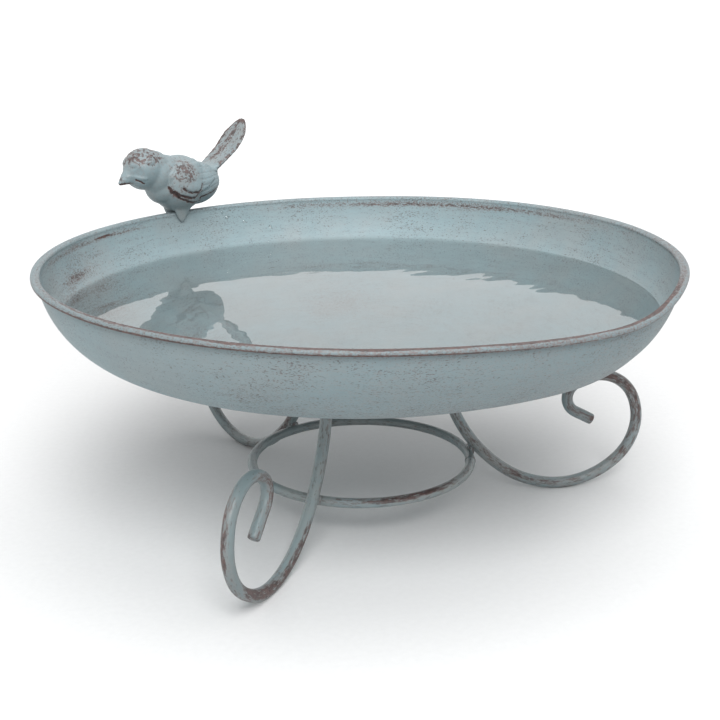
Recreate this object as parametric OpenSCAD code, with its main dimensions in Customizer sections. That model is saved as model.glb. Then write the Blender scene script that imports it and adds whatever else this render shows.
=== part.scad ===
// Table-top bird bath: a spun steel dish on three scrolled rod legs tied by a ring,
// with a cast bird clipped over the rolled rim.
// Origin: on the floor, on the dish's axis. +Z is up. +X runs out along the first leg.

/* [Dish] */
// Radius of the rolled lip, to the middle of its width
rim_r = 157.5; // [150:0.5:165]
// Width of the rolled lip, measured out from the axis
lip_w = 4.6; // [4:0.2:5.6]
// Height of the rolled lip
lip_h = 2.6; // [2.2:0.2:3.4]
// Depth of the dish outside, from the middle of the lip down
dish_depth = 60; // [50:1:70]
// Radius of the rounded corner between wall and floor
corner_r = 48; // [40:1:56]
// Height of the corner's centre above the middle of the lip, which sets the wall's lean
corner_rise = 5.5; // [3:0.5:8]
// Sheet thickness
sheet_t = 0.8; // [0.6:0.1:1.2]

/* [Legs] */
// Rod diameter of the legs
leg_d = 6; // [5:0.5:7]
// Distance from the dish's axis at which each leg meets the dish
leg_top_r = 42.5; // [38:0.5:48]
// Straight length between the dish and the first bend
leg_neck = 2; // [2:0.5:6]
// Straight length at the scroll's inner end
leg_tip = 10; // [4:0.5:12]

/* [Ring] */
// Rod diameter of the ring
ring_d = 5; // [4:0.5:6]
// Height of the ring's rod above the floor
ring_h = 24; // [20:1:32]
// Gap between ring and leg that the weld fills
ring_gap = 0.5; // [0.2:0.1:1]

/* [Bird] */
// Place of the bird round the rim, in degrees from the first leg
bird_angle = 123.5; // [90:0.5:150]
// Room between the bird's lugs and the lip
lug_play = 0.15; // [0.1:0.05:0.4]

/* [Hidden] */

$fn = 120;

DISH_PAINT = [0.56, 0.63, 0.65];
ROD_PAINT = [0.42, 0.48, 0.50];
BIRD_PAINT = [0.50, 0.58, 0.61];

// Directions of the three legs, in degrees: hand set, so not quite a third of a turn apart
RIGHT = 0;
BACK = 121;
FRONT = 239;

// Bends that all legs share, from the dish to the scroll, each [radius, turn in degrees]
BENDS = [[83.5, 47], [56, 29], [45, 54], [30, 70], [21, 103]];
// Radius of the last bend, which turns the scroll's tip down
LAST_BEND_R = 9;
// Each leg's own finish: turn of the last bend in degrees, and what is added to the straight tip
RIGHT_END = [112, 0.5];
BACK_END = [108, 0];
FRONT_END = [98, 6];
// The bend in which the leg runs level and meets the floor
FOOT_BEND = 2;

// Hairline between a leg and the dish that it is welded to
HAIRLINE = 0.05;
// Hairline between one bend of a rod and the next, so that each keeps its own true round
BEND_GAP = 0.002;

// How far the wall's outer face stands in from the middle of the lip
WALL_IN = 0.5;

// The dish's floor is a shallow dome that runs tangent into the corner
wall_r = rim_r - WALL_IN;
corner_x = wall_r - sqrt(pow(corner_r, 2) - pow(corner_rise, 2));
floor_rise = (pow(corner_x, 2) + pow(corner_rise, 2) - pow(dish_depth - corner_r, 2))
    / (2 * (dish_depth - corner_r + corner_rise));
floor_r = floor_rise + dish_depth;
tangent_angle = atan(corner_x / (floor_rise - corner_rise));

// Each leg leaves the dome square to its face
leg_slope = acos(leg_top_r / floor_r);

// Rod direction after the first n bends, in degrees above the outward radius
function heading(n) = n == 0 ? -leg_slope : heading(n - 1) + BENDS[n - 1][1];
// Radius and height of the rod's centre after the first n bends, from where the bends begin
function bend_x(n) =
    n == 0 ? 0 : bend_x(n - 1) + BENDS[n - 1][0] * (sin(heading(n)) - sin(heading(n - 1)));
function bend_z(n) =
    n == 0 ? 0 : bend_z(n - 1) - BENDS[n - 1][0] * (cos(heading(n)) - cos(heading(n - 1)));

foot_drop = BENDS[FOOT_BEND][0] * (1 - cos(heading(FOOT_BEND)));
bends_z = leg_d / 2 - bend_z(FOOT_BEND) + foot_drop;
bends_x = leg_top_r + leg_neck * cos(leg_slope);
leg_top_z = bends_z + leg_neck * sin(leg_slope);

// Height of the middle of the lip, which puts the dome on the legs' tops
rim_z = leg_top_z + floor_r * sin(leg_slope) - floor_rise;

// The ring lies against the first bend, on its outer side
bend_centre_x = bends_x + BENDS[0][0] * sin(leg_slope);
bend_centre_z = bends_z + BENDS[0][0] * cos(leg_slope);
ring_reach = BENDS[0][0] + leg_d / 2 + ring_gap + ring_d / 2;
ring_r = bend_centre_x - sqrt(pow(ring_reach, 2) - pow(bend_centre_z - ring_h, 2));

// Half section of everything inside a wall lying t in from the dish's outer face
module dish_section(t) {
    intersection() {
        union() {
            intersection() {
                translate([0, floor_rise]) circle(floor_r - t);
                polygon([
                    [0, floor_rise],
                    [0, -2 * dish_depth],
                    [(floor_rise + 2 * dish_depth) * tan(tangent_angle), -2 * dish_depth]
                ]);
            }
            translate([corner_x, corner_rise]) circle(corner_r - t);
        }
        translate([0, -2 * dish_depth]) square([2 * rim_r, 2 * dish_depth]);
    }
}

// Outline of the lip's section, all of it t inside the lip's face
module lip_outline(t) {
    side = (lip_w - lip_h) / 2;
    translate([rim_r, 0]) {
        for (x = [-side, side]) translate([x, 0]) circle(d = lip_h - 2 * t);
        square([2 * side, lip_h - 2 * t], center = true);
    }
}

// Section of the rolled lip: a flattened curl that stops just short of the wall's outer face
module lip_section() {
    curl_gap = 0.5;
    difference() {
        lip_outline(0);
        lip_outline(sheet_t);
        translate([wall_r - sheet_t, -lip_h]) square([sheet_t + curl_gap, lip_h]);
    }
}

module dish() {
    color(DISH_PAINT) translate([0, 0, rim_z]) rotate_extrude() union() {
        difference() {
            dish_section(0);
            dish_section(sheet_t);
        }
        lip_section();
    }
}

// One bend of the rod, starting at the origin along +X and turning towards +Y
module rod_bend(bend) {
    late = BEND_GAP / bend[0] * 180 / PI;
    translate([0, bend[0]]) rotate(late - 90) rotate_extrude(angle = bend[1] - late)
        translate([bend[0], 0]) circle(d = leg_d);
}

// Slim core that carries the rod across the start of a bend
module rod_core() {
    rotate([0, 90, 0]) cylinder(d = leg_d - 1, h = 1, center = true);
}

// A rod through the given bends and then straight for its tip, starting at the origin along +X
module bent_rod(bends, tip, i = 0) {
    bend = bends[i];
    rod_bend(bend);
    rod_core();
    translate([0, bend[0]]) rotate(bend[1]) translate([0, -bend[0]]) {
        if (i < len(bends) - 1) {
            bent_rod(bends, tip, i + 1);
        } else {
            rod_core();
            translate([BEND_GAP, 0, 0]) rotate([0, 90, 0]) cylinder(d = leg_d, h = tip);
        }
    }
}

// Puts what is drawn along +X, turning towards +Y, at the start of a leg's bends in the XZ plane
module at_bends() {
    translate([bends_x, 0, bends_z]) rotate([90, 0, 0]) rotate(-leg_slope) children();
}

module leg(angle, end) {
    color(ROD_PAINT) rotate(angle) at_bends() {
        bent_rod(concat(BENDS, [[LAST_BEND_R, end[0]]]), leg_tip + end[1]);
        rotate([0, -90, 0]) cylinder(d = leg_d, h = leg_neck - HAIRLINE);
    }
}

module ring_rod() {
    translate([0, 0, ring_h]) rotate_extrude() translate([ring_r, 0]) circle(d = ring_d);
}

module ring() {
    color(ROD_PAINT) ring_rod();
}

// Hollow fillet of weld round the straight neck at the top of a leg
module dish_weld(angle) {
    fillet_h = 1.8;
    fillet_w = 2.2;
    color(ROD_PAINT) rotate(angle) translate([leg_top_r, 0, leg_top_z])
        rotate([0, leg_slope - 90, 0]) translate([0, 0, -fillet_h - HAIRLINE])
        rotate_extrude() translate([leg_d / 2, 0]) difference() {
            square([fillet_w, fillet_h]);
            translate([fillet_w + 0.4, -0.3]) circle(fillet_h);
        }
}

// Weld between a leg and the ring, centred in the gap between the rods
module ring_weld(angle) {
    weld_d = 7.4;
    reach = BENDS[0][0] + (leg_d + ring_gap) / 2;
    share = reach / ring_reach;
    color(ROD_PAINT) rotate(angle) difference() {
        translate([
            bend_centre_x + (ring_r - bend_centre_x) * share,
            0,
            bend_centre_z + (ring_h - bend_centre_z) * share
        ]) sphere(d = weld_d);
        at_bends() rod_bend(BENDS[0], $fn = 360);
        ring_rod($fn = 360);
    }
}

// Proud band where the ring's two ends are butt welded
module ring_seam_weld() {
    seam_angle = -14;
    seam_turn = 3;
    color(ROD_PAINT) rotate(seam_angle) translate([0, 0, ring_h])
        rotate_extrude(angle = seam_turn) translate([ring_r, 0]) difference() {
            circle(d = ring_d + 0.8);
            circle(d = ring_d);
        }
}

// A ball at a point, for hulls
module ball(place, r) {
    translate(place) sphere(r, $fn = 32);
}

// A ball stretched to three half sizes
module egg(place, size) {
    translate(place) scale(size) sphere(1, $fn = 40);
}

// Round-ended section of the tail, leaning back by lean
module tail_plate(x, z, half_width, half_thick, lean) {
    translate([x, 0, z]) rotate([0, lean, 0]) scale([half_thick, half_width, half_thick])
        sphere(1, $fn = 32);
}

// Upturned tail, wide and round at its end
module tail() {
    plates = [
        [-17, 20, 7.5, 5, 60],
        [-24, 24.5, 9, 3, 55],
        [-37.5, 34, 11, 2, 45],
        [-45.2, 43.2, 10, 1.7, 38],
        [-49.4, 50, 4.4, 1.2, 32]
    ];
    for (i = [1:len(plates) - 1]) hull() {
        for (plate = [plates[i - 1], plates[i]])
            tail_plate(plate[0], plate[1], plate[2], plate[3], plate[4]);
    }
}

// The bird, looking along +X, with +Y towards the middle of the dish,
// and the origin at the middle of the rim's lip
module bird_figure() {
    egg([-1, 0, 17.6], [17.3, 14.6, 16.2]);
    hull() {
        egg([-12, 0, 16.7], [16.6, 12.8, 12.9]);
        egg([-16, 0, 20], [9, 9, 8]);
    }
    hull() {
        ball([9.5, 0, 17.6], 11);
        egg([8, 0, 23.8], [11.3, 10.9, 11.1]);
        ball([14, 0.3, 24], 10.4);
    }
    hull() {
        ball([15, -0.5, 29.3], 9.4);
        egg([21.4, -1, 28.5], [11.9, 11.8, 11.7]);
    }
    hull() {
        ball([26.5, -1, 27], 6.6);
        ball([31.5, -1, 25], 4.9);
        ball([38.6, -1, 21.8], 0.9);
    }
    tail();
    for (side = [-1, 1]) hull() {
        ball([0.2, 4.8 * side, 6], 3.4);
        ball([-4.2, 4.6 * side, 3.5], 2.9);
        ball([4.6, 4.6 * side, 3.5], 2.9);
        ball([1.2, 5 * side, -1], 2.2);
        ball([-0.3, 4.6 * side, -4.2], 1);
    }
    egg([0, 0, 5.5], [8, 6.5, 6.5]);
}

// Room for the lip and the wall between the bird's lugs
module rim_room() {
    room_w = lip_w + 2 * lug_play;
    translate([0, 0, rim_z]) rotate_extrude($fn = 240) {
        lip_outline(-lug_play, $fn = 32);
        translate([rim_r - room_w / 2, -2 * lip_w]) square([room_w, 2 * lip_w]);
    }
}

module bird() {
    color(BIRD_PAINT) difference() {
        rotate(bird_angle) translate([rim_r, 0, rim_z]) rotate(90) bird_figure();
        rim_room();
    }
}

dish();
bird();
ring();
leg(RIGHT, RIGHT_END);  // leg_right
leg(BACK, BACK_END);  // leg_back
leg(FRONT, FRONT_END);  // leg_front
dish_weld(RIGHT);  // dish_weld_right
dish_weld(BACK);  // dish_weld_back
dish_weld(FRONT);  // dish_weld_front
ring_weld(RIGHT);  // ring_weld_right
ring_weld(BACK);  // ring_weld_back
ring_weld(FRONT);  // ring_weld_front
ring_seam_weld();
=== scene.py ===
"""Looks of the table-top bird bath: the spun dish with its rolled rim, the scrolled legs and ring with
their welds, the cast songbird and the water, all in worn blue-grey paint over brown primer."""

import math
from functools import partial

import bpy
import numpy as np
from mathutils import Matrix, Vector


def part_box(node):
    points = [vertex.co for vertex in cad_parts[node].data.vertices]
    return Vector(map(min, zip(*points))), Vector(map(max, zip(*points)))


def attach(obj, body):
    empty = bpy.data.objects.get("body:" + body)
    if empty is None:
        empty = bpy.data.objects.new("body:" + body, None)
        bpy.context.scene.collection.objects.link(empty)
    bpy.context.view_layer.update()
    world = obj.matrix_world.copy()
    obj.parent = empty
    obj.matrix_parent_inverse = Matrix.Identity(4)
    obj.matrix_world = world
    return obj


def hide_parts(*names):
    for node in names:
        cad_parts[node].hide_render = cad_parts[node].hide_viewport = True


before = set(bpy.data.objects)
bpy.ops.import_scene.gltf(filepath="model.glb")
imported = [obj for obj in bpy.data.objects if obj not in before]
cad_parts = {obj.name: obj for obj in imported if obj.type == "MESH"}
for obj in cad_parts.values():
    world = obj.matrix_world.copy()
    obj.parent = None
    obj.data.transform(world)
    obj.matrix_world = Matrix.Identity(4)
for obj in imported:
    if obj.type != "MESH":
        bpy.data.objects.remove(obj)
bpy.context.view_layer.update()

MM = 0.001

# ---------------------------------------------------------------- sizes, as the solids have them
DISH_LOW, DISH_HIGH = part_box("dish")
LIP_W = 4.6 * MM
LIP_H = 2.6 * MM
LIP_R = DISH_HIGH.x - LIP_W / 2
RIM_Z = DISH_HIGH.z - LIP_H / 2
DISH_DEPTH = RIM_Z - DISH_LOW.z
WALL_IN = 0.5 * MM
SHEET_T = 0.8 * MM
CORNER_R = 48 * MM
CORNER_RISE = 5.5 * MM
LEG_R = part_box("leg_right")[1].y
RING_LOW, RING_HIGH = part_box("ring")
RING_ROD_R = (RING_HIGH.z - RING_LOW.z) / 2
RING_Z = (RING_HIGH.z + RING_LOW.z) / 2
RING_R = RING_HIGH.x - RING_ROD_R
WATER_DROP = 22 * MM
FLOOR_R = 1.0
LEG_ANGLES = {"right": 0.0, "back": math.radians(121), "front": math.radians(239)}
BIRD_ANGLE = math.radians(123.5)


# ---------------------------------------------------------------- camera, light and floor
def make_camera():
    """A camera 620 mm out and 276 mm up, a little to the left of the first leg's side."""
    swing = math.radians(8.8)
    distance = 620.3 * MM
    height = RIM_Z + 144.2 * MM
    heading = math.radians(7.7)
    pitch = math.radians(17.68)
    roll = math.radians(-0.81)
    data = bpy.data.cameras.new("camera")
    data.lens = 63.9
    data.sensor_width = 36
    data.shift_x = 0.032
    data.clip_start = 0.01
    data.clip_end = 100
    camera = bpy.data.objects.new("camera", data)
    bpy.context.scene.collection.objects.link(camera)
    place = Vector((-distance * math.sin(swing), -distance * math.cos(swing), height))
    turn = (
        Matrix.Rotation(-heading, 4, "Z")
        @ Matrix.Rotation(math.pi / 2 - pitch, 4, "X")
        @ Matrix.Rotation(roll, 4, "Z")
    )
    camera.matrix_world = Matrix.Translation(place) @ turn
    bpy.context.scene.camera = camera


def area_light(name, place, target, size, power):
    data = bpy.data.lights.new(name, "AREA")
    data.shape = "DISK"
    data.size = size
    data.energy = power
    lamp = bpy.data.objects.new(name, data)
    bpy.context.scene.collection.objects.link(lamp)
    lamp.location = place
    lamp.rotation_euler = (Vector(target) - Vector(place)).to_track_quat("-Z", "Y").to_euler()


def make_studio():
    """A white studio whose walls give less light than they show, and two large soft lamps overhead."""
    world = bpy.data.worlds.new("studio")
    bpy.context.scene.world = world
    world.use_nodes = True
    nodes, links = world.node_tree.nodes, world.node_tree.links
    sky = nodes["Background"]
    sky.inputs["Color"].default_value = (0.985, 0.995, 1.0, 1)
    path = nodes.new("ShaderNodeLightPath")
    seen = nodes.new("ShaderNodeMath")
    seen.operation = "MAXIMUM"
    links.new(path.outputs["Is Camera Ray"], seen.inputs[0])
    links.new(path.outputs["Is Glossy Ray"], seen.inputs[1])
    strength = nodes.new("ShaderNodeMapRange")
    strength.inputs["To Min"].default_value = 0.56
    strength.inputs["To Max"].default_value = 1.22
    links.new(seen.outputs[0], strength.inputs["Value"])
    links.new(strength.outputs["Result"], sky.inputs["Strength"])
    area_light("key", (-0.20, -1.45, 1.45), (0, 0, 0.1), 1.2, 32)
    area_light("top", (0.25, -0.1, 1.9), (0, 0, 0.1), 1.7, 14)
    bpy.context.scene.view_settings.view_transform = "Standard"

    mesh = bpy.data.meshes.new("floor")
    sides = 96
    turn = full_turn(sides)
    edge = np.c_[np.cos(turn), np.sin(turn), np.zeros(sides)] * FLOOR_R
    faces = [(0, 1 + i, 1 + (i + 1) % sides) for i in range(sides)]
    mesh.from_pydata([(0, 0, 0), *edge.tolist()], [], faces)
    floor = bpy.data.objects.new("floor", mesh)
    bpy.context.scene.collection.objects.link(floor)
    t = Tree("floor_paper")
    place = t.place()
    grain = t.noise(place, 300, 2, 0.6)
    t.join(t.mix(grain, (0.80, 0.80, 0.80), (0.86, 0.86, 0.86)), t.shader.inputs["Base Color"])
    t.shader.inputs["Roughness"].default_value = 0.9
    clear = t.nodes.new("ShaderNodeBsdfTransparent")
    fade = t.nodes.new("ShaderNodeMixShader")
    t.join(t.step(t.length(place), 0.30, 0.95), fade.inputs[0])
    t.join(t.shader.outputs[0], fade.inputs[1])
    t.join(clear.outputs[0], fade.inputs[2])
    t.join(fade.outputs[0], t.nodes["Material Output"].inputs["Surface"])
    mesh.materials.append(t.material)


# ---------------------------------------------------------------- small mesh helpers
def add_object(name, verts, faces, material):
    mesh = bpy.data.meshes.new(name)
    mesh.from_pydata(np.asarray(verts, float).tolist(), [], [list(map(int, f)) for f in faces])
    mesh.validate()
    mesh.polygons.foreach_set("use_smooth", [True] * len(mesh.polygons))
    mesh.update()
    mesh.materials.append(material)
    piece = bpy.data.objects.new(name, mesh)
    bpy.context.scene.collection.objects.link(piece)
    return piece


def store(piece, name, values):
    """Keeps one number a vertex on the mesh, or the same one for all, for the material to read."""
    layer = piece.data.attributes.new(name, "FLOAT", "POINT")
    layer.data.foreach_set("value", np.full(len(layer.data), values, np.float32))


def store_wear_and_shade(piece, wear, mottle, painted_shade):
    """Keeps what the paint reads: where it is rubbed through, spotted with primer and darkened with painted
    shade.
    """
    for name, values in (("wear", wear), ("mottle", mottle), ("painted_shade", painted_shade)):
        store(piece, name, values)


def smoothstep(low, high, value):
    t = np.clip((np.asarray(value, float) - low) / (high - low), 0, 1)
    return t * t * (3 - 2 * t)


def bump(value, centre, width):
    """A smooth hump of height 1 at centre, gone one width away on either side."""
    return smoothstep(width, 0, np.abs(np.asarray(value, float) - centre))


def toward(degrees, centre, width):
    """A bell of height 1 at an angle round the dish."""
    return np.exp(-((((degrees - centre + 180) % 360 - 180) / width) ** 2))


def full_turn(steps):
    return np.linspace(0, 2 * math.pi, steps, endpoint=False)


def skin(rings):
    """Points and faces of the skin over a row of rings of points, closed at both ends."""
    count, around = len(rings), len(rings[0])
    verts = np.vstack(rings)
    ring = np.arange(around)
    nxt = (ring + 1) % around
    low = np.arange(count - 1)[:, None] * around
    high = low + around
    faces = np.stack([low + ring, low + nxt, high + nxt, high + ring], -1).reshape(-1, 4).tolist()
    faces.append(ring[::-1].tolist())
    faces.append(((count - 1) * around + ring).tolist())
    return verts, faces


def merged(skins):
    """Several skins as one list of points and one of faces."""
    verts, faces = [], []
    for points, polygons in skins:
        start = len(verts)
        verts += points.tolist()
        faces += [[start + v for v in polygon] for polygon in polygons]
    return verts, faces


# ---------------------------------------------------------------- materials
class Tree:
    """Short names for the shader nodes that the paints are made of."""

    def __init__(self, name):
        self.material = bpy.data.materials.new(name)
        self.material.use_nodes = True
        self.nodes = self.material.node_tree.nodes
        self.links = self.material.node_tree.links
        self.shader = self.nodes["Principled BSDF"]

    def join(self, source, target):
        if isinstance(source, bpy.types.NodeSocket):
            self.links.new(source, target)
        else:
            target.default_value = source

    def math(self, operation, a, b):
        node = self.nodes.new("ShaderNodeMath")
        node.operation = operation
        self.join(a, node.inputs[0])
        self.join(b, node.inputs[1])
        return node.outputs[0]

    def vector(self, operation, a, b=(0, 0, 0)):
        node = self.nodes.new("ShaderNodeVectorMath")
        node.operation = operation
        self.join(a, node.inputs[0])
        self.join(b, node.inputs[1])
        return node.outputs[0]

    def add(self, a, b):
        return self.math("ADD", a, b)

    def times(self, a, b):
        return self.math("MULTIPLY", a, b)

    def length(self, vector):
        node = self.nodes.new("ShaderNodeVectorMath")
        node.operation = "LENGTH"
        self.join(vector, node.inputs[0])
        return node.outputs["Value"]

    def combine(self, x, y, z):
        node = self.nodes.new("ShaderNodeCombineXYZ")
        for source, target in zip((x, y, z), node.inputs):
            self.join(source, target)
        return node.outputs[0]

    def split(self, vector):
        node = self.nodes.new("ShaderNodeSeparateXYZ")
        self.join(vector, node.inputs[0])
        return node.outputs

    def place(self):
        return self.nodes.new("ShaderNodeTexCoord").outputs["Object"]

    def value(self, name):
        node = self.nodes.new("ShaderNodeAttribute")
        node.attribute_name = name
        return node.outputs["Fac"]

    def noise(self, vector, scale, detail, rough):
        node = self.nodes.new("ShaderNodeTexNoise")
        self.join(vector, node.inputs["Vector"])
        node.inputs["Scale"].default_value = scale
        node.inputs["Detail"].default_value = detail
        node.inputs["Roughness"].default_value = rough
        return node.outputs["Fac"]

    def step(self, value, low, high, out_low=0.0, out_high=1.0):
        """A smooth rise from out_low to out_high as value goes from low to high."""
        node = self.nodes.new("ShaderNodeMapRange")
        node.interpolation_type = "SMOOTHSTEP"
        self.join(value, node.inputs["Value"])
        node.inputs["From Min"].default_value = low
        node.inputs["From Max"].default_value = high
        node.inputs["To Min"].default_value = out_low
        node.inputs["To Max"].default_value = out_high
        return node.outputs["Result"]

    def mix(self, share, a, b):
        node = self.nodes.new("ShaderNodeMix")
        node.data_type = "RGBA"
        self.join(share, node.inputs[0])
        self.join(a if isinstance(a, bpy.types.NodeSocket) else (*a, 1), node.inputs[6])
        self.join(b if isinstance(b, bpy.types.NodeSocket) else (*b, 1), node.inputs[7])
        return node.outputs[2]

    def bumps(self, height, distance, strength):
        node = self.nodes.new("ShaderNodeBump")
        node.inputs["Distance"].default_value = distance
        node.inputs["Strength"].default_value = strength
        self.join(height, node.inputs["Height"])
        self.join(node.outputs["Normal"], self.shader.inputs["Normal"])


def worn_paint_and_shade(name, cool, warm, along, speck, gloss, speckle):
    """Satin paint over brown primer. along gives the vector in which specks lie lengthwise, speck is their
    width, speckle how strong they are and gloss the lowest and highest roughness. Three attributes say
    where the paint is rubbed through ("wear"), spotted with primer ("mottle") and darkened with painted
    shade."""
    brown = (0.106, 0.062, 0.056)
    dark = (0.046, 0.031, 0.029)
    t = Tree(name)
    where = t.place()
    lengthwise = along(t, where)
    wear = t.value("wear")
    painted_shade = t.value("painted_shade")

    # clouds, rows along the piece and painted shade
    cloud = t.noise(where, 26, 3, 0.6)
    haze = t.noise(where, 130, 3, 0.65)
    rows = t.noise(t.vector("MULTIPLY", lengthwise, (0.2, 0.2, 1)), 0.28 / speck, 3, 0.6)
    paint = t.mix(t.step(cloud, 0.36, 0.66), cool, warm)
    paint = t.mix(t.step(haze, 0.35, 0.75, 0.0, 0.30), paint, [c * 0.8 for c in cool])
    paint = t.mix(t.step(rows, 0.35, 0.70, 0.0, 0.22), paint, [c * 0.82 for c in warm])
    # painted shade: where the third attribute says, the paint is mixed towards a darker cool tone
    paint = t.mix(painted_shade, paint, [c * 0.56 for c in cool])

    # specks that lie lengthwise, and round spots
    specks = t.noise(lengthwise, 1 / speck, 3, 0.6)
    drift = t.add(t.times(t.noise(where, 38, 2, 0.5), 0.20), t.times(rows, 0.24))
    specked = t.step(t.add(t.add(specks, drift), t.times(wear, 0.12)), 0.815, 0.885)
    spots = t.noise(where, 1000, 3, 0.65)
    spotted = t.step(t.add(spots, t.times(t.value("mottle"), 0.26)), 0.66, 0.86)

    # rubbed places: faded round the edge, thin where the wear is slight, bare primer where it is strong
    rub = t.add(t.noise(lengthwise, 0.55 / speck, 5, 0.72), t.times(wear, 0.42))
    rubbed = t.times(t.step(rub, 0.70, 0.80), t.step(wear, 0.40, 0.80, 0.72, 1.0))
    faded = t.step(rub, 0.52, 0.80)
    bare = t.math("MAXIMUM", rubbed, t.times(specked, speckle))

    primer = t.mix(t.step(t.noise(where, 420, 3, 0.6), 0.35, 0.65), dark, brown)
    colour = t.mix(t.times(faded, 0.40), paint, (0.26, 0.225, 0.215))
    colour = t.mix(t.times(spotted, 0.75), colour, (0.17, 0.13, 0.125))
    t.join(t.mix(bare, colour, primer), t.shader.inputs["Base Color"])

    grain = t.noise(where, 1100, 2, 0.6)
    t.join(t.step(grain, 0.2, 0.8, *gloss), t.shader.inputs["Roughness"])
    t.shader.inputs["Specular IOR Level"].default_value = 0.4
    height = t.math("SUBTRACT", t.times(grain, 0.3), t.times(bare, 0.7))
    t.bumps(t.add(height, t.times(haze, 0.5)), 0.12 * MM, 0.8)
    return t.material


def round_the_dish(t, where):
    """Stretches the pattern round the dish, so that flecks are long that way and short up the wall."""
    x, y, _ = t.split(where)
    ox, oy, _ = t.split(t.vector("NORMALIZE", t.combine(x, y, 0.0)))
    reach = 0.42 * LIP_R
    return t.combine(t.times(ox, reach), t.times(oy, reach), t.value("across"))


def along_the_rod(t, where):
    """Stretches the pattern along a rod."""
    return t.combine(t.times(t.value("run"), 0.25), t.value("side_x"), t.value("side_y"))


def in_place(t, where):
    """Leaves the pattern as it is, for a piece with no length."""
    return where


def make_water_material():
    """Clear water: what is under it, mirrored over more and more as the view flattens."""
    t = Tree("water")
    t.nodes.remove(t.shader)
    clear = t.nodes.new("ShaderNodeBsdfTransparent")
    clear.inputs["Color"].default_value = (0.99, 0.99, 0.985, 1)
    gloss = t.nodes.new("ShaderNodeBsdfGlossy")
    gloss.inputs["Color"].default_value = (1, 1, 1, 1)
    gloss.inputs["Roughness"].default_value = 0.015
    edge = t.nodes.new("ShaderNodeFresnel")
    edge.inputs["IOR"].default_value = 1.38
    mix = t.nodes.new("ShaderNodeMixShader")
    t.join(edge.outputs[0], mix.inputs[0])
    t.join(clear.outputs[0], mix.inputs[1])
    t.join(gloss.outputs[0], mix.inputs[2])
    t.join(mix.outputs[0], t.nodes["Material Output"].inputs["Surface"])
    return t.material


DISH_PAINT = worn_paint_and_shade(
    "dish_paint", cool=(0.262, 0.352, 0.378), warm=(0.288, 0.340, 0.352),
    along=round_the_dish, speck=0.52 * MM, gloss=(0.44, 0.62), speckle=0.6,
)
ROD_PAINT = worn_paint_and_shade(
    "rod_paint", cool=(0.210, 0.278, 0.294), warm=(0.246, 0.274, 0.272),
    along=along_the_rod, speck=0.8 * MM, gloss=(0.30, 0.46), speckle=0.5,
)
BIRD_PAINT = worn_paint_and_shade(
    "bird_paint", cool=(0.240, 0.318, 0.344), warm=(0.276, 0.312, 0.316),
    along=in_place, speck=1.15 * MM, gloss=(0.38, 0.56), speckle=0.12,
)
WATER = make_water_material()


# ---------------------------------------------------------------- the dish
def arc(centre, radius, start, end, steps):
    """Points on an arc, angles in degrees anticlockwise from +r."""
    angles = np.radians(np.linspace(start, end, steps))
    return np.c_[centre[0] + radius * np.cos(angles), centre[1] + radius * np.sin(angles)]


def dish_profile():
    """Outside, lip and inside of the dish's half section: radius and height from the middle of the lip."""
    wall_r = LIP_R - WALL_IN
    corner_x = wall_r - math.sqrt(CORNER_R**2 - CORNER_RISE**2)
    deep = DISH_DEPTH - CORNER_R
    rise = (corner_x**2 + CORNER_RISE**2 - deep**2) / (2 * (deep + CORNER_RISE))
    turn = math.degrees(math.atan(corner_x / (rise - CORNER_RISE)))

    def shell(inset, top):
        corner_r = CORNER_R - inset
        end = math.degrees(math.asin((top - CORNER_RISE) / corner_r))
        floor = arc((0, rise), rise + DISH_DEPTH - inset, -90, -90 + turn, 70)
        corner = arc((corner_x, CORNER_RISE), corner_r, -90 + turn, end, 70)
        return np.vstack([floor, corner[1:]])

    half = LIP_H / 2
    side = (LIP_W - LIP_H) / 2 - 0.06 * MM
    outside = shell(0, -half)
    inside = shell(SHEET_T, -half * 0.92)
    flush = inside[-1, 0] - (LIP_R - LIP_W / 2 + 0.1 * MM)
    inside[:, 0] -= flush * smoothstep(-24 * MM, -half, inside[:, 1])
    slot_r = outside[-1, 0] + 0.45 * MM
    slot = [(outside[-1, 0], -half / 2), (slot_r, -half / 2), (slot_r, -half)]
    roll_out = arc((LIP_R + side, 0), half, -90, 90, 19)
    roll_top = np.c_[np.linspace(LIP_R + side, LIP_R - side, 13)[1:-1], np.full(11, half)]
    roll_in = arc((LIP_R - side, 0), half, 90, 198, 17)
    lip = np.vstack([slot, roll_out, roll_top, roll_in])
    facing = np.r_[[-90] * 3, np.linspace(-90, 90, 19), [90] * 11, np.linspace(90, 198, 17)]
    return outside, lip, facing, inside[::-1]


def turned(knots, width):
    """A smooth value round the dish from pairs of angle and value, blurred over width degrees."""
    angle, value = np.array(knots, float).T
    degrees = np.arange(-180, 180)
    even = np.interp(degrees, angle, value, period=360)
    weight = np.exp(-((np.arange(-40, 41) / width) ** 2))
    even = np.convolve(np.tile(even, 3), weight / weight.sum(), "same")[360:720]
    return lambda at: np.interp(at, degrees, even, period=360)


# Rise of the lip, rise of the belly and move outwards of both, in mm, at angles round the dish
LIP_RISE = turned([
    (-168, 0), (-150, 0.4), (-130, 0.4), (-114, -0.1), (-100, -0.6), (-92, -0.9), (-85, -1.4), (-79, -2.0),
    (-74, -2.8), (-69, -3.5), (-62, -4.6), (-55, -5.7), (-48, -5.7), (-39, -3.6), (-29, -1.2), (-10, 0.3),
    (15, 1.3), (45, 1.3), (60, 0.8), (80, 0), (125, 0), (155, 0.4), (180, 0.3),
], 5)
BELLY_RISE = turned([
    (-170, 0), (-130, 0.5), (-75, 0.5), (-62, -0.4), (-50, -2.1), (-40, -2.1), (-33, 0), (0, 0.2), (90, 0),
], 5)
OUTWARD = turned([
    (-120, 0), (-55, -0.1), (-44, -0.3), (-33, -1.2), (5, -1.1), (30, -0.7), (70, 0), (150, 0),
], 6)


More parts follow.
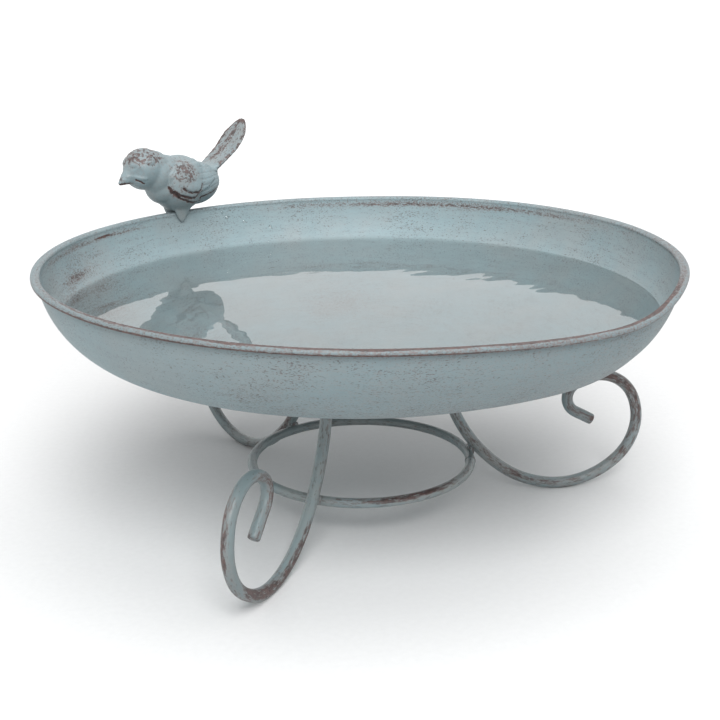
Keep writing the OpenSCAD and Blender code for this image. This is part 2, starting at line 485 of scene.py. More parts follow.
def dent(x, y):
    """How far the hand-spun dish sags and bulges away from true, as moves in x, y and z."""
    radius = np.hypot(x, y)
    angle = np.degrees(np.arctan2(y, x))
    share = smoothstep(70 * MM, 125 * MM, radius)
    high = smoothstep(144 * MM, 156.5 * MM, radius)
    dz = MM * share * (high * LIP_RISE(angle) + (1 - high) * BELLY_RISE(angle))
    dr = MM * share * OUTWARD(angle) / np.maximum(radius, MM)
    return dr * x, dr * y, dz


# Rubbed places on the bowl's wall: angle round, mm below the rim, half widths in degrees and mm, strength
BRUSHED = [
    (160, 15, 7, 4, 0.85), (153, 24, 8, 6, 0.70), (168, 22, 7, 6, 0.45), (158, 33, 12, 7, 0.55),
    (146, 1.4, 2.2, 0.8, 2.4), (139, 2.2, 7, 1.2, 0.9),
]
SMEAR = (5 * MM, 98 * MM, 20 * MM)  # the worn place on the bowl's floor: x, y and reach


def belly_wear_and_shade(depth, degrees):
    """Wear, spots and painted shade on the outside of the dish, at mm below the lip's middle and degrees
    round.
    """
    near = partial(toward, degrees)
    wear = 0.16 + 0.14 * smoothstep(8, 45, depth) + 0.14 * near(345, 35) * smoothstep(45, 10, depth)
    wear -= 0.42 * near(203, 30)
    mottle = 0.12 + 0.20 * near(300, 50) * smoothstep(50, 20, depth) + 0.25 * smoothstep(5, 1, depth)
    # painted shade: the outside darkened all round, least on the left and a little more low down
    painted_shade = 0.72 - 0.42 * near(200, 55) + 0.05 * smoothstep(20, 50, depth)
    return wear, mottle, painted_shade


def lip_wear_and_shade(face, out, degrees):
    """The same on the lip: face is the way it faces, 90 being up, and out the mm out from its middle."""
    near = partial(toward, degrees)
    left, right, front = near(200, 30), near(345, 35), near(280, 60)
    wide = -0.3 + 1.4 * near(268, 62) + 0.45 * np.sin(degrees / 2.3) * np.sin(degrees / 5.9 + 1)
    ridge = smoothstep(-2.4, -2.0, out) * smoothstep(0.7, 0, out - wide) * (face >= 60)
    strong = 0.06 + 0.86 * near(260, 60) + 0.42 * near(318, 18)
    under = bump(face, -42 + 10 * left, 40 + 14 * left)
    wear = 0.16 + 0.92 * ridge * strong + (0.66 + 0.2 * left) * under
    wear += 0.30 * bump(face, 5, 40) * (left + 0.6 * right)
    wear += bump(face, -25, 40) * (0.55 * near(226, 24) + 0.40 * near(266, 12))
    mottle = 0.25 + 0.70 * smoothstep(-60, 0, face) * (0.45 + 0.55 * np.maximum(front, right))
    # painted shade: the lip darker where it faces down and lighter at the back, with none on its inner face
    painted_shade = 0.66 + 0.20 * smoothstep(50, -60, face) - 0.35 * near(90, 70)
    painted_shade *= 1 - 0.85 * smoothstep(95, 140, face)
    return wear, mottle, painted_shade


def bowl_wear_and_shade(below, radius, degrees):
    """The same in the bowl, at mm below the rim and at a radius."""
    near = partial(toward, degrees)
    hazy = (0.22 + 0.78 * near(62, 42) + 0.6 * near(160, 20)) * (1 - 0.9 * near(118, 14))
    brushed = 0.55 * near(172, 30) * smoothstep(62, 20, below) * smoothstep(2, 9, below)
    for angle, drop, wide, tall, amount in BRUSHED:
        brushed += amount * near(angle, wide) * bump(below, drop, tall)
    turn = np.radians(degrees)
    x, y, reach = SMEAR
    smear = np.hypot(radius * np.cos(turn) - x, radius * np.sin(turn) - y) / reach
    smear = np.exp(-(smear**2))
    deep = smoothstep(34, 50, below)
    wear = (0.56 * bump(below, 1.7, 2.4) + 0.10 * smoothstep(22, 4, below)) * hazy
    wear += 0.46 * brushed + 0.26 * smear + 0.16 * deep
    mottle = 0.80 * smoothstep(7, 1, below) * hazy + 0.66 * brushed + 0.35 * smear + 0.28 * deep
    # painted shade: the bowl darkened a little all over and much more on the inner left wall
    painted_shade = np.broadcast_to(0.04 + 0.46 * near(205, 36), wear.shape)
    return wear, mottle, painted_shade


def make_dish():
    outside, lip, facing, inside = dish_profile()
    bottom, floor = outside[0, 1], inside[-1, 1]
    outside, inside = outside[1:], inside[:-1]
    section = np.vstack([outside, lip, inside])
    run = np.r_[0, np.cumsum(np.linalg.norm(np.diff(section, axis=0), axis=1))]
    around = 540
    turn = full_turn(around)
    degrees = np.degrees(turn)
    x = np.outer(section[:, 0], np.cos(turn)).ravel()
    y = np.outer(section[:, 0], np.sin(turn)).ravel()
    z = np.repeat(RIM_Z + section[:, 1], around)

    # one row a point of the section, one column a step round the dish
    belly = belly_wear_and_shade(-outside[:, 1:] / MM, degrees)
    edge = lip_wear_and_shade(facing[:, None], (lip[:, :1] - LIP_R) / MM, degrees)
    bowl = bowl_wear_and_shade((-LIP_H / 2 - inside[:, 1:]) / MM, inside[:, :1], degrees)
    wear, mottle, painted_shade = (np.vstack(rows) for rows in zip(belly, edge, bowl))

    rows = np.arange(len(section))[:, None] * around
    here = np.arange(around)
    there = (here + 1) % around
    low, high = rows[:-1], rows[1:]
    quads = np.stack([low + here, low + there, high + there, high + here], -1).reshape(-1, 4)
    under, over = len(x), len(x) + 1
    last = (len(section) - 1) * around
    faces = quads.tolist()
    faces += np.c_[np.full(around, under), there, here].tolist()
    faces += np.c_[np.full(around, over), last + here, last + there].tolist()
    x, y = np.r_[x, 0, 0], np.r_[y, 0, 0]
    z = np.r_[z, RIM_Z + bottom, RIM_Z + floor]
    dx, dy, dz = dent(x, y)
    dish = add_object("spun_dish", np.c_[x + dx, y + dy, z + dz], faces, DISH_PAINT)
    store(dish, "across", np.r_[np.repeat(run, around), run[0], run[-1]])
    # painted shade: 0.4 at the middle of the underside, none at the middle of the bowl's floor
    store_wear_and_shade(dish, np.r_[wear.ravel(), 0, 0], np.r_[mottle.ravel(), 0, 0], np.r_[painted_shade.ravel(), 0.4, 0])
    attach(dish, "root")
    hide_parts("dish")


# ---------------------------------------------------------------- rods
# Radius in mm and turn in degrees of the bends that the legs share, then each leg's last turn and tip in mm
BENDS = [(83.5, 47), (56, 29), (45, 54), (30, 70), (21, 103)]
LAST_BEND_R = 9
LEG_ENDS = {"right": (112, 10.5), "back": (108, 10), "front": (98, 16)}
LEG_TOP_R = 42.5 * MM
LEG_NECK = 2 * MM
LEG_SLOPE = math.radians(-83.87)
LEG_STEP = 1.1 * MM


def leg_line(which):
    """Centre of a leg's rod in its own upright plane, as radius and height, from the dish to the tip."""
    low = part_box("leg_right")[0].z
    last_turn, tip = LEG_ENDS[which]
    points = [np.array((LEG_TOP_R, 0.0))]
    heading = LEG_SLOPE
    points.append(points[-1] + LEG_NECK * np.array((math.cos(heading), math.sin(heading))))
    for radius, turn in [*BENDS, (LAST_BEND_R, last_turn)]:
        radius *= MM
        centre = points[-1] + radius * np.array((-math.sin(heading), math.cos(heading)))
        steps = max(6, round(radius * math.radians(turn) / LEG_STEP))
        for share in np.linspace(0, 1, steps + 1)[1:]:
            at = heading + math.radians(turn) * share
            points.append(centre + radius * np.array((math.sin(at), -math.cos(at))))
        heading += math.radians(turn)
    steps = round(tip)
    for _ in range(steps):
        points.append(points[-1] + tip / steps * MM * np.array((math.cos(heading), math.sin(heading))))
    line = np.array(points)
    line[:, 1] += low + LEG_R - line[:, 1].min()
    return line


ROD_SIDES = 32


def sweep(name, centre, side, up, radius, closed):
    """A round rod along a line, with side and up as unit vectors across it at each point. Gives the rod,
    and the mm along it and the angle round it of every point."""
    sides = ROD_SIDES
    turn = full_turn(sides)
    count = len(centre)
    run = np.r_[0, np.cumsum(np.linalg.norm(np.diff(centre, axis=0), axis=1))]
    spin, travel = np.meshgrid(turn, run / MM)
    lumps = 0.5 * np.sin(travel / 4.1 + 1.5 * np.sin(travel / 13)) * np.sin(spin + travel / 37)
    lumps += 0.35 * np.sin(travel / 1.9 + 2 * spin) * np.sin(travel / 7.3 + 1)
    reach = radius * np.ones((count, 1)) - 0.05 * MM + 0.05 * MM * lumps
    verts = centre[:, None] + reach[:, :, None] * (
        np.cos(turn)[None, :, None] * side[:, None] + np.sin(turn)[None, :, None] * up[:, None]
    )
    ring = np.arange(sides)
    nxt = (ring + 1) % sides
    last = count if closed else count - 1
    low = np.arange(last)[:, None] * sides
    high = (np.arange(1, last + 1) % count)[:, None] * sides
    faces = np.stack([low + ring, high + ring, high + nxt, low + nxt], -1).reshape(-1, 4).tolist()
    if not closed:
        faces.append(ring.tolist())
        faces.append((((count - 1) * sides + ring)[::-1]).tolist())
    rod = add_object(name, verts.reshape(-1, 3), faces, ROD_PAINT)
    store(rod, "run", np.repeat(run, sides))
    store(rod, "side_x", np.tile(np.cos(turn), count) * LEG_R)
    store(rod, "side_y", np.tile(np.sin(turn), count) * LEG_R)
    return rod, travel, spin


# Long rubs along each leg: start and end in mm from the dish, side in degrees round the rod, and strength
LEG_RUBS = {
    "right": [(72, 146, 185, 0.36), (140, 206, 160, 0.34), (214, 250, 170, 0.25)],
    "back": [(20, 70, 20, 0.25), (100, 190, 200, 0.28)],
    "front": [(64, 142, 14, 0.60), (158, 188, -115, 0.32), (196, 214, 150, 0.30), (205, 240, 0, 0.34)],
}


def make_leg(which):
    line = leg_line(which)
    heading = np.gradient(line, axis=0)
    heading /= np.linalg.norm(heading, axis=1)[:, None]
    tip = line[-1]
    line = np.vstack([line[:-1], tip - 0.25 * MM * heading[-1], tip - 0.02 * MM * heading[-1]])
    angle = LEG_ANGLES[which]
    out = np.array((math.cos(angle), math.sin(angle), 0))
    across = np.array((-math.sin(angle), math.cos(angle), 0))
    centre = line[:, :1] * out + line[:, 1:] * np.array((0, 0, 1))
    ahead = np.gradient(centre, axis=0)
    ahead[-2:] = ahead[-3]
    ahead /= np.linalg.norm(ahead, axis=1)[:, None]
    up = np.cross(ahead, across)
    side = np.tile(across, (len(centre), 1))
    radius = np.full((len(centre), 1), LEG_R)
    radius[-1] -= 0.5 * MM
    radius[-2] -= 0.12 * MM
    leg, travel, spin = sweep(f"{which}_scroll_leg", centre, side, up, radius, False)
    length = travel[-1, 0]
    wear = 0.24 + 0.14 * np.sin(travel / 23 + 2 * angle) + 0.18 * np.sin(spin * 2 + travel / 29)
    wear += 0.22 * smoothstep(length - 5, length, travel) + 0.30 * smoothstep(5, 0, travel)
    for start, end, toward, strength in LEG_RUBS[which]:
        along = smoothstep(start - 8, start + 8, travel) * smoothstep(end + 8, end - 8, travel)
        wear += strength * along * smoothstep(0.35, 0.95, np.cos(spin - math.radians(toward)))
    # painted shade: darker next to the dish, on the rod's underside and along the scroll, most on the front
    # leg
    painted_shade = 0.25 * smoothstep(12, 0, travel) + 0.12 * smoothstep(0, -1, np.sin(spin))
    painted_shade += (0.50 if which == "front" else 0.10) * smoothstep(90, 150, travel)
    store_wear_and_shade(leg, wear.ravel(), np.clip(wear - 0.25, 0, 0.6).ravel(), painted_shade.ravel())
    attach(leg, "root")
    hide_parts(f"leg_{which}")


def make_ring():
    angles = full_turn(320)
    out = np.c_[np.cos(angles), np.sin(angles), np.zeros(len(angles))]
    centre = out * RING_R + np.array((0, 0, RING_Z))
    up = np.tile((0.0, 0.0, 1.0), (len(angles), 1))
    radius = np.full((len(angles), 1), RING_ROD_R)
    ring, travel, spin = sweep("tie_ring", centre, -out, up, radius, True)
    wear = 0.14 + 0.10 * np.sin(travel / 19) + 0.10 * np.sin(spin * 2 + travel / 31)
    turn = np.degrees(angles)[:, None]
    wear += 0.50 * bump(turn, 292, 70) * smoothstep(0.1, 0.9, np.cos(spin - 1.9))
    # painted shade: the back half of the ring darker
    painted_shade = 0.20 * smoothstep(-0.2, 0.8, np.sin(np.repeat(angles, ROD_SIDES)))
    store_wear_and_shade(ring, wear.ravel(), np.clip(wear - 0.25, 0, 0.5).ravel(), painted_shade)
    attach(ring, "root")
    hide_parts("ring")


# ---------------------------------------------------------------- welds
def weld(name, node, place, turn, steps, profile):
    """A lumpy weld made by carrying a closed profile round the Z axis, then turned and placed.
    profile gives radius and height, in mm, of the section at a given angle."""
    angles = full_turn(steps)
    rings = [profile(angle) for angle in angles]
    count = len(rings[0])
    verts = [
        (r * math.cos(angle), r * math.sin(angle), z) for angle, ring in zip(angles, rings) for r, z in ring
    ]
    faces = []
    for i in range(steps):
        low, high = i * count, (i + 1) % steps * count
        for j in range(count):
            k = (j + 1) % count
            faces.append((low + j, high + j, high + k, low + k))
    verts = np.array([tuple(turn @ Vector(v) * MM + place) for v in verts])
    bead = add_object(name, verts, faces, ROD_PAINT)
    local = verts - np.array(place)
    store(bead, "run", np.hypot(local[:, 0], local[:, 1]))
    store(bead, "side_x", local[:, 0])
    store(bead, "side_y", local[:, 2])
    # the last value is painted shade, darkening the dish welds half way
    store_wear_and_shade(bead, 0.62, 0.5, 0.5)
    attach(bead, "root")
    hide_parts(node)


def dish_weld_profile(angle):
    lump = 0.22 * math.sin(3 * angle) + 0.16 * math.sin(7 * angle + 1)
    wide, high = 1.7 + lump, 1.5 + 0.6 * lump
    inner = LEG_R / MM - 0.05
    points = [(inner, 0.0), (inner, -high)]
    for share in np.linspace(0.08, 0.92, 7):
        dip = 1 - math.sqrt(1 - (1 - share) ** 2)
        points.append((inner + 0.1 + wide * share, -high * dip))
    points.append((inner + wide, 0.0))
    return points


def make_welds():
    line = leg_line("right")
    start = line[0]
    lean = math.atan2(line[1, 1] - start[1], line[1, 0] - start[0])
    for which, angle in LEG_ANGLES.items():
        swing = Matrix.Rotation(angle, 3, "Z")
        top = swing @ Vector((start[0], 0, start[1])) - Vector((0, 0, 0.06 * MM))
        tilt = swing @ Matrix.Rotation(-math.pi / 2 - lean, 3, "Y")
        weld(f"{which}_dish_weld", f"dish_weld_{which}", top, tilt, 48, dish_weld_profile)
        make_ring_weld(which, angle)
    make_seam_weld()


def make_ring_weld(which, angle):
    """A lump of weld that fills the hollow between a leg and the ring, drawn out along both rods."""
    low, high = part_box(f"ring_weld_{which}")
    middle = (low + high) / 2
    out = np.array((math.cos(angle), math.sin(angle), 0))
    across = np.array((-math.sin(angle), math.cos(angle), 0))
    up = np.array((0, 0, 1.0))
    rise = np.linspace(-math.pi / 2, math.pi / 2, 21)[1:-1]
    turn = full_turn(40)
    rings = []
    for h in rise:
        flat = math.cos(h)
        lump = 1 + 0.07 * np.sin(3 * turn + 2 * h + angle) + 0.05 * np.sin(5 * turn - 4 * h + 2 * angle)
        lump = lump[:, None] * MM
        x = lump * flat * np.cos(turn)[:, None] * 2.5 * out
        y = lump * flat * np.sin(turn)[:, None] * 3.3 * across
        rings.append(np.array(middle) + x + y + lump * math.sin(h) * 3.3 * up)
    verts, faces = skin(rings)
    bead = add_object(f"{which}_ring_weld", verts, faces, ROD_PAINT)
    local = verts - np.array(middle)
    store(bead, "run", local[:, 2])
    store(bead, "side_x", local @ out)
    store(bead, "side_y", local @ across)
    # the last value is painted shade on the ring welds
    store_wear_and_shade(bead, 0.52, 0.4, 0.22)
    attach(bead, "root")
    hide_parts(f"ring_weld_{which}")


def make_seam_weld():
    """The proud band where the ring's two ends are welded together."""
    angles = np.radians(np.linspace(-14, -11, 13))
    out = np.c_[np.cos(angles), np.sin(angles), np.zeros(len(angles))]
    up = np.tile((0.0, 0.0, 1.0), (len(angles), 1))
    swell = np.array([0, 0.18, 0.30, 0.34, 0.33, 0.30, 0.33, 0.36, 0.34, 0.31, 0.28, 0.16, 0]) * MM
    radius = (RING_ROD_R + swell - 0.02 * MM)[:, None]
    centre = out * RING_R + np.array((0, 0, RING_Z))
    band, _, _ = sweep("ring_seam", centre, -out, up, radius, False)
    # the last value is a little painted shade on the seam
    store_wear_and_shade(band, 0.50, 0.4, 0.15)
    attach(band, "root")
    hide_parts("ring_seam_weld")


# ---------------------------------------------------------------- water
# Trains of ripples: length in mm, heading in degrees, phase and size
WAVES = [
    (11, 25, 0.2, 1.0), (9, 40, 1.9, 0.8), (15, -8, 4.0, 1.1), (19, 62, 2.6, 1.0),
    (27, 15, 0.7, 1.3), (13, 80, 5.1, 0.7), (36, -35, 3.3, 1.2), (8, 5, 2.2, 0.5),
]
# Drops on the wall: degrees round the dish, mm below the middle of the lip and radius in mm
DROPS = [(112, 5.5, 1.25), (113, 2.6, 0.8), (108, 9.0, 0.9), (102, 13.5, 0.9)]


def ripple(x, y):
    """Height of the water's ripples, in mm, at a place in mm."""
    height = np.zeros_like(x)
    for length, heading, phase, size in WAVES:
        a = math.radians(heading)
        across = x * math.sin(a) - y * math.cos(a)
        along = x * math.cos(a) + y * math.sin(a)
        bend = 3.0 * np.sin(along / 31 + phase) + 1.5 * np.sin(along / 13 + 2 * phase)
        height += size * length / 15 * np.sin(2 * math.pi * (across + bend) / length + phase)
    return height


def make_drops():
    """A few drops that cling to the inside of the wall, a flat lens each."""
    inside = dish_profile()[3][::-1]
    turn = full_turn(24)
    lenses = []
    for angle, depth, size in DROPS:
        angle, depth, size = math.radians(angle), depth * MM, size * MM
        radius, lower = np.interp((-depth, -depth - MM), inside[:, 1], inside[:, 0])
        out = np.array((math.cos(angle), math.sin(angle), 0))
        across = np.array((-math.sin(angle), math.cos(angle), 0))
        up = out * (radius - lower) + (0, 0, MM)
        up /= np.linalg.norm(up)
        inward = np.cross(up, across)
        spot = out * radius + (0, 0, RIM_Z - depth)
        circle = size * (np.outer(np.cos(turn), across) + np.outer(np.sin(turn), up))
        bulge = 0.45 * size * inward
        shares = np.linspace(0.02, 1, 7)
        lenses.append(skin([spot + share * circle + (1 - share**2) * bulge for share in shares]))
    drops = add_object("water_drops", *merged(lenses), WATER)
    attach(drops, "root")


def make_water():
    """The water's surface, stirred most near the right and the bird, and drawn up a little at the wall."""
    level = RIM_Z - WATER_DROP
    inside = dish_profile()[3][::-1]
    edge = float(np.interp(-WATER_DROP, inside[:, 1], inside[:, 0])) - 0.7 * MM
    rings, around = 230, 420
    share = np.linspace(0, 1, rings + 1)[1:]
    radii = edge * (1 - (1 - share) ** 1.25)
    turn = full_turn(around)
    x = np.r_[0, np.outer(radii, np.cos(turn)).ravel()]
    y = np.r_[0, np.outer(radii, np.sin(turn)).ravel()]
    radius = np.hypot(x, y)
    angle = np.degrees(np.arctan2(y, x))
    stir = 0.15 + 0.9 * toward(angle, 40, 38) * smoothstep(45 * MM, 110 * MM, radius)
    stir += 0.16 * toward(angle, 140, 30) * smoothstep(50 * MM, 110 * MM, radius)
    calm = smoothstep(edge, edge - 6 * MM, radius)
    z = level + 0.022 * MM * ripple(x / MM, y / MM) * stir * calm
    z += 0.5 * MM * np.exp(-(edge - radius) / (1.0 * MM))
    ring = np.arange(around)
    nxt = (ring + 1) % around
    starts = 1 + np.arange(rings)[:, None] * around
    low, high = starts[:-1], starts[1:]
    faces = np.stack([low + ring, high + ring, high + nxt, low + nxt], -1).reshape(-1, 4).tolist()
    faces += np.c_[np.zeros(around, int), 1 + ring, 1 + nxt].tolist()
    water = add_object("water", np.c_[x, y, z], faces, WATER)
    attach(water, "root")


# ---------------------------------------------------------------- the bird, in mm: x ahead, y to the water
# Middles and half sizes of the egg shapes that make the body, the neck and the head
EGGS = [
    ((-1, 0, 18.0), (17, 14, 16.3)), ((-12, 0, 16.7), (16.3, 12.2, 12.6)),
    ((9.5, 0, 17.6), (10.6, 10.6, 10.6)), ((8, 0, 24.0), (11, 10.6, 11.4)),
    ((14, 0.5, 24), (10, 10.5, 11)), ((15, -0.5, 29.3), (9.2, 9.4, 9.2)),
    ((21.4, -1.0, 28.5), (11.7, 11.6, 11.9)), ((-16, 0, 20), (9, 9, 8)),
]
# Sections along the beak: mm along it, half width and half height
BEAK = [(-5, 6.2, 6.2), (0, 5.0, 4.9), (3.4, 3.5, 3.3), (6.2, 1.9, 1.9), (8.2, 0.75, 0.9)]
# Sections along the tail: x, z, half width and half thickness
TAIL = [
    (-17, 20, 7, 5), (-21, 22.4, 8.2, 3.8), (-25, 25.2, 9, 2.6), (-31, 29.2, 9.8, 1.9),
    (-37.3, 33.8, 10.6, 1.6), (-41.4, 38.3, 10.9, 1.5), (-44.4, 42.2, 10.2, 1.4), (-46.7, 45.6, 8.0, 1.2),
    (-48.4, 48.6, 5.4, 1.0), (-49.6, 50.4, 2.6, 0.8),
]
# Sections down a lug: z, middle in x, half length, and y of its inner and outer face
LUG = [
    (9, -1.2, 7.0, 1.0, 8.0), (4, -0.6, 6.0, 2.7, 6.7), (1.5, -0.2, 5.0, 2.7, 6.1),
    (-1, 0.0, 3.5, 2.7, 5.5), (-3, -0.1, 2.0, 2.7, 5.0), (-4.6, -0.3, 0.8, 3.0, 4.3),
]
# Wing layers seen from the side, each a closed outline whose first points are its crisp lower edge
COVERTS = [(4.4, 16.9), (1.6, 15.0), (-1.2, 14.2), (-5.0, 14.1), (-7.2, 15.4), (-8.1, 17.8)]
COVERTS_TOP = [(-8.6, 22), (-5, 27), (3, 28), (8, 23)]
SECONDARIES = [(9.2, 15.6), (6.6, 13.6), (3.4, 12.4), (-1.4, 10.9), (-3.4, 11.0), (-4.8, 12.3)]
SECONDARIES_TOP = [(-8.5, 13.4), (-14, 16), (-20, 20), (-10, 29.5), (4, 29.5), (11, 24)]
WING = [(12.6, 18.6), (10.5, 15.4), (6.0, 11.4), (0.2, 8.7), (-4.6, 7.5), (-9.0, 7.9), (-9.4, 10.0)]
WING_TIP = [(-8.5, 10.1), (-13.7, 11.1), (-19.3, 12.4), (-23.4, 13.8)]
WING_TOP = [(-27, 19), (-24, 24), (-10, 32), (5, 31), (12, 25)]


def egg(place, size):
    """Skin of an ellipsoid: points and faces."""
    rise = np.linspace(-math.pi / 2, math.pi / 2, 27)[1:-1]
    turn = full_turn(40)
    flat = np.c_[np.cos(turn), np.sin(turn)]
    return skin([np.c_[math.cos(h) * flat, np.full(40, math.sin(h))] * size + place for h in rise])


def beak():
    turn = full_turn(32)
    ahead = np.array((0.88, 0, -0.47))
    up = np.array((0.47, 0, 0.88))
    rings = []
    for along, wide, high in BEAK:
        centre = np.array((30.9, -1, 25.5)) + ahead * along
        rings.append(centre + np.outer(np.cos(turn) * wide, (0, 1, 0)) + np.outer(np.sin(turn) * high, up))
    return skin(rings)


def tail():
    """A plate that is hollowed a little along its middle."""
    turn = full_turn(48)
    path = np.array(TAIL, float)
    ahead = np.gradient(path[:, :2], axis=0)
    ahead /= np.linalg.norm(ahead, axis=1)[:, None]
    rings = []
    for (x, z, wide, thick), (ax, az) in zip(path, ahead):
        across = wide * np.cos(turn)
        lift = thick * np.sin(turn) + 1.1 * (across / 11) ** 2
        rings.append(np.stack([x + az * lift, across, z - ax * lift], 1))
    return skin(rings)


def lug(side):
    """One of the two lugs that hang either side of the rim, the outer one a little further ahead."""
    turn = full_turn(32)
    ahead = 0 if side > 0 else 1.5
    rings = []
    for z, middle, half, inner, outer in LUG:
        y = (inner + outer) / 2 + (outer - inner) / 2 * np.sin(turn) * side
        rings.append(np.c_[middle + ahead + half * np.cos(turn), y * side, np.full(32, float(z))][::-1])
    return skin([ring[::side] for ring in rings])


BIRD_VOXEL = 0.46


def remeshed(skins, voxel):
    """One even skin round overlapping closed ones: points, edges and faces."""
    verts, faces = merged(skins)
    mesh = bpy.data.meshes.new("core")
    mesh.from_pydata(verts, [], faces)
    core = bpy.data.objects.new("core", mesh)
    bpy.context.scene.collection.objects.link(core)
    change = core.modifiers.new("skin", "REMESH")
    change.mode = "VOXEL"
    change.voxel_size = voxel
    graph = bpy.context.evaluated_depsgraph_get()
    done = bpy.data.meshes.new_from_object(core.evaluated_get(graph))
    points = np.empty(len(done.vertices) * 3)
    done.vertices.foreach_get("co", points)
    edges = np.empty(len(done.edges) * 2, int)
    done.edges.foreach_get("vertices", edges)
    polygons = [tuple(polygon.vertices) for polygon in done.polygons]
    bpy.data.objects.remove(core)
    bpy.data.meshes.remove(mesh)
    bpy.data.meshes.remove(done)
    return points.reshape(-1, 3), edges.reshape(-1, 2), polygons


def relax(points, edges, share, rounds):
    """Moves each point towards the middle of its neighbours, over and over."""
    ends = np.r_[edges[:, 0], edges[:, 1]]
    others = np.r_[edges[:, 1], edges[:, 0]]
    count = np.bincount(ends, minlength=len(points))
    for _ in range(rounds):
        sums = [np.bincount(ends, weights=column, minlength=len(points)) for column in points[others].T]
        middle = np.stack(sums, 1) / count[:, None]
        points = points + share[:, None] * (middle - points)
    return points


def line_distance(points, line):
    """Distance from each point to a line through corners."""
    line = np.asarray(line, float)
    nearest = np.full(len(points), np.inf)
    for a, b in zip(line, line[1:]):
        along = np.clip(((points - a) @ (b - a)) / ((b - a) @ (b - a)), 0, 1)
        nearest = np.minimum(nearest, np.linalg.norm(points - a - along[:, None] * (b - a), axis=1))
    return nearest


def depth_inside(points, outline):
    """Distance in from a closed outline, negative outside it."""
    outline = np.asarray(outline, float)
    inside = np.zeros(len(points), bool)
    x, z = points[:, 0], points[:, 1]
    for a, b in zip(outline, np.roll(outline, -1, 0)):
        crosses = (a[1] > z) != (b[1] > z)
        at = a[0] + (z - a[1]) / (b[1] - a[1] + 1e-12) * (b[0] - a[0])
        inside ^= crosses & (x < at)
    return np.where(inside, 1, -1) * line_distance(points, np.vstack([outline, outline[:1]]))


def carve_wings(points):
    """Three overlapping layers of feathers either side, then long plumes that run back to the rump."""
    x, y, z = points.T
    rise, wear = np.zeros((2, len(points)))
    flank = np.c_[x, z]
    side = smoothstep(2.0, 5.0, np.abs(y)) * smoothstep(14.5, 12, x) * smoothstep(-27, -24, x)
    rise += side * 0.75 * smoothstep(-0.2, 0.7, depth_inside(flank, WING + WING_TIP + WING_TOP))
    rise += side * 0.55 * smoothstep(-0.2, 0.6, depth_inside(flank, SECONDARIES + SECONDARIES_TOP))
    low = smoothstep(20.5, 16, z)
    rise += side * low * 0.55 * smoothstep(-0.2, 0.7, depth_inside(flank, COVERTS + COVERTS_TOP))
    for edge, power in ((WING, 0.62), (WING_TIP, 0.58), (SECONDARIES, 0.66), (COVERTS, 0.42)):
        off = line_distance(flank, edge)
        rise -= side * 0.30 * smoothstep(1.0, 0.2, off)
        wear += side * power * smoothstep(0.95, 0.30, off)
        wear += side * 0.20 * smoothstep(2.8, 0.6, off)
    wear += 0.40 * side * smoothstep(10.5, 3.5, np.hypot(x - 2.2, z - 26))
    back = np.clip((-6 - x) / 18, 0, 1)
    fan = 21 + (z - 21) / (1 - 0.45 * back)
    step = (fan - 13.2 + 0.5 * np.sin(x / 2.6)) / 3.6
    groove = smoothstep(0.70, 0.12, np.abs(step - np.round(step)) * 3.6)
    plumes = side * smoothstep(-5.5, -9, x) * smoothstep(11.5, 13.5, z) * smoothstep(30, 27, z)
    rise -= 0.22 * plumes * groove
    wear += 0.10 * plumes * groove
    scale_x = (x + 0.6 * z) / 3.4
    scale_z = (z - 0.35 * x) / 3.0
    scales = np.sin(2 * math.pi * scale_x) * np.sin(2 * math.pi * scale_z + math.pi * np.floor(scale_x))
    mantle = side * smoothstep(19, 22, z) * smoothstep(-9, -5, x)
    rise += 0.07 * mantle * scales
    wear += 0.15 * mantle * smoothstep(0.1, 0.9, -scales)
    wear += 0.14 * side * smoothstep(5.5, 1.5, np.hypot(x - 8.8, z - 16.6))
    return rise, wear


def carve_head(points):
    """Tufts on the crown, the hollow of the eye, the slit of the lids and the cheek's fold under it."""
    x, y, z = points.T
    rise, wear = np.zeros((2, len(points)))
    on_head = smoothstep(12, 15, x)
    crown = on_head * smoothstep(28.5, 35, z)
    wear += 0.38 * crown
    ruffle = np.sin(x * 1.7 + 1.2 * np.sin(y * 0.8)) * np.sin(y * 1.5 + 0.8 * np.sin(x * 0.9))
    rise += 0.14 * on_head * smoothstep(29, 33, z) * ruffle
    wear += 0.16 * crown * smoothstep(0.0, -0.7, ruffle)
    for mirror in (1, -1):
        here = points.copy()
        here[:, 1] = -1 + mirror * (here[:, 1] + 1)
        for tuft in ((30.7, 3.8, 33.7), (22.2, 8.8, 34.6)):
            off = np.linalg.norm(here - tuft, axis=1)
            rise += 0.45 * smoothstep(3.2, 1.4, off) - 0.18 * bump(off, 3.4, 0.8)
            wear += 0.13 * bump(off, 3.2, 1.3) - 0.08 * smoothstep(2.6, 1.2, off)
        off = np.linalg.norm(here - (29.8, 7.0, 27.8), axis=1)
        rise -= 0.60 * smoothstep(4.5, 0.8, off)
        lids = [(30.3, 5.0, 23.8), (28.4, 6.6, 22.8), (26.4, 7.2, 21.2)]
        off = line_distance(here, lids)
        rise -= 0.55 * smoothstep(0.95, 0.15, off)
        wear += 1.1 * smoothstep(0.85, 0.3, off)
        fold = [(34.5, 2.5, 26.2), (30.6, 6.2, 25.3), (27.8, 8.2, 24.7), (26.0, 8.8, 24.6)]
        rise += 0.42 * smoothstep(1.5, 0.2, line_distance(here, fold))
        wear += 0.35 * smoothstep(1.1, 0.3, np.linalg.norm(here - (19.5, 9.6, 21.6), axis=1))
    gape = [(38.0, 21.5), (34.0, 21.9), (31.0, 21.6)]
    wear += 0.55 * smoothstep(1.1, 0.3, line_distance(np.c_[x, z], gape)) * smoothstep(29, 31, x)
    wear += 0.30 * smoothstep(33.5, 37, x)
    return rise, wear


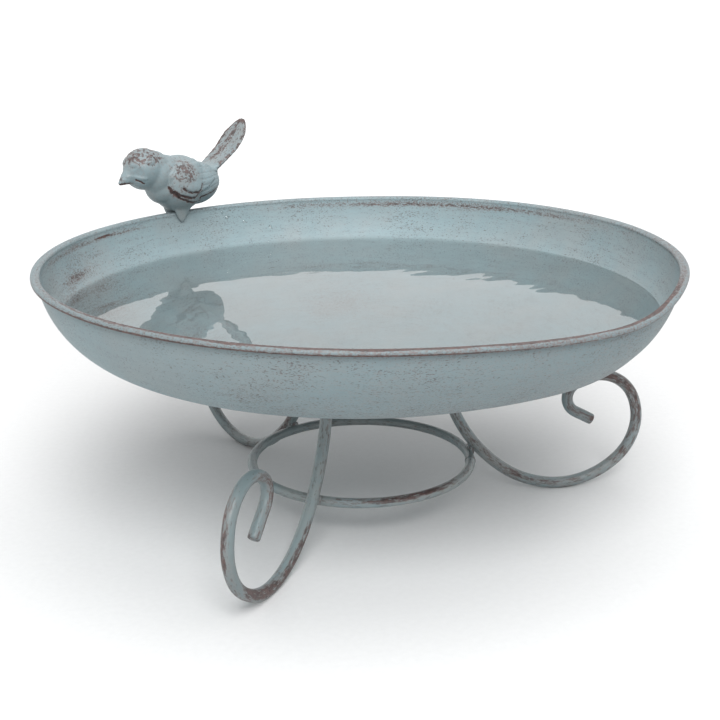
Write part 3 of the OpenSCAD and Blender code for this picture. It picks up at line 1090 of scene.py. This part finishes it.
def carve_tail(points):
    """A middle quill with barbs either side, rubbed along the edges and at the tip."""
    x, y, z = points.T
    path = np.array(TAIL, float)
    on_tail = smoothstep(-22, -26, x) * smoothstep(22, 25, z + 0.1 * y**2 / 8)
    along = np.interp(z, path[:, 1], np.arange(len(path)))
    wide = np.interp(z, path[:, 1], path[:, 2])
    rise = on_tail * (0.28 * bump(y, 0, 1.0) - 0.16 * smoothstep(0.7, 0.1, np.abs(np.abs(y) - wide * 0.42)))
    rise += on_tail * 0.06 * np.sin(2.6 * (z + 0.9 * np.abs(y)))
    edge = y / wide
    wear = on_tail * (0.28 + 0.42 * smoothstep(-0.62, -0.92, edge) + 0.22 * smoothstep(0.72, 0.95, edge))
    wear += on_tail * (0.26 * bump(edge, -0.15, 0.38) + 0.30 * smoothstep(7.2, 9.0, along))
    return rise, wear


def carve(points):
    """Height of the cast detail over the bird's smooth skin, and how far the paint is worn there."""
    parts = carve_wings(points), carve_head(points), carve_tail(points)
    rise, wear = np.sum(parts, axis=0)
    return rise, wear + 0.16


def make_bird():
    skins = [egg(place, size) for place, size in EGGS] + [beak(), tail(), lug(1), lug(-1)]
    points, edges, faces = remeshed(skins, BIRD_VOXEL)
    x, y, z = points.T
    fine = smoothstep(33, 36, x) + smoothstep(-24, -28, x) + smoothstep(0, -3, z)
    points = relax(points, edges, 0.5 * (1 - 0.72 * np.clip(fine, 0, 1)), 26)
    mesh = bpy.data.meshes.new("smooth")
    mesh.from_pydata(points.tolist(), [], faces)
    normals = np.empty(len(points) * 3)
    mesh.vertices.foreach_get("normal", normals)
    bpy.data.meshes.remove(mesh)
    rise, wear = carve(points)
    points = points + normals.reshape(-1, 3) * rise[:, None]
    points = relax(points, edges, np.full(len(points), 0.25), 1)
    z = points[:, 2].copy()

    sit = np.array((LIP_R * math.cos(BIRD_ANGLE), LIP_R * math.sin(BIRD_ANGLE), RIM_Z))
    turn = Matrix.Rotation(BIRD_ANGLE + math.pi / 2, 4, "Z")
    place = Matrix.Translation(Vector(sit)) @ turn @ Matrix.Scale(MM, 4)
    placed = points @ np.array(place.to_3x3()).T + np.array(place.translation)
    bird = add_object("songbird", placed, faces, BIRD_PAINT)
    # the last value is painted shade: the lower body darker, most at 8 mm up, and a trace all over
    store_wear_and_shade(bird, wear, np.clip(wear - 0.1, 0, 0.5), 0.05 + 0.34 * bump(z, 8, 9))
    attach(bird, "root")
    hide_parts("bird")


make_camera()
make_studio()
make_dish()
for which in LEG_ANGLES:
    make_leg(which)
make_ring()
make_welds()
make_water()
make_drops()
make_bird()
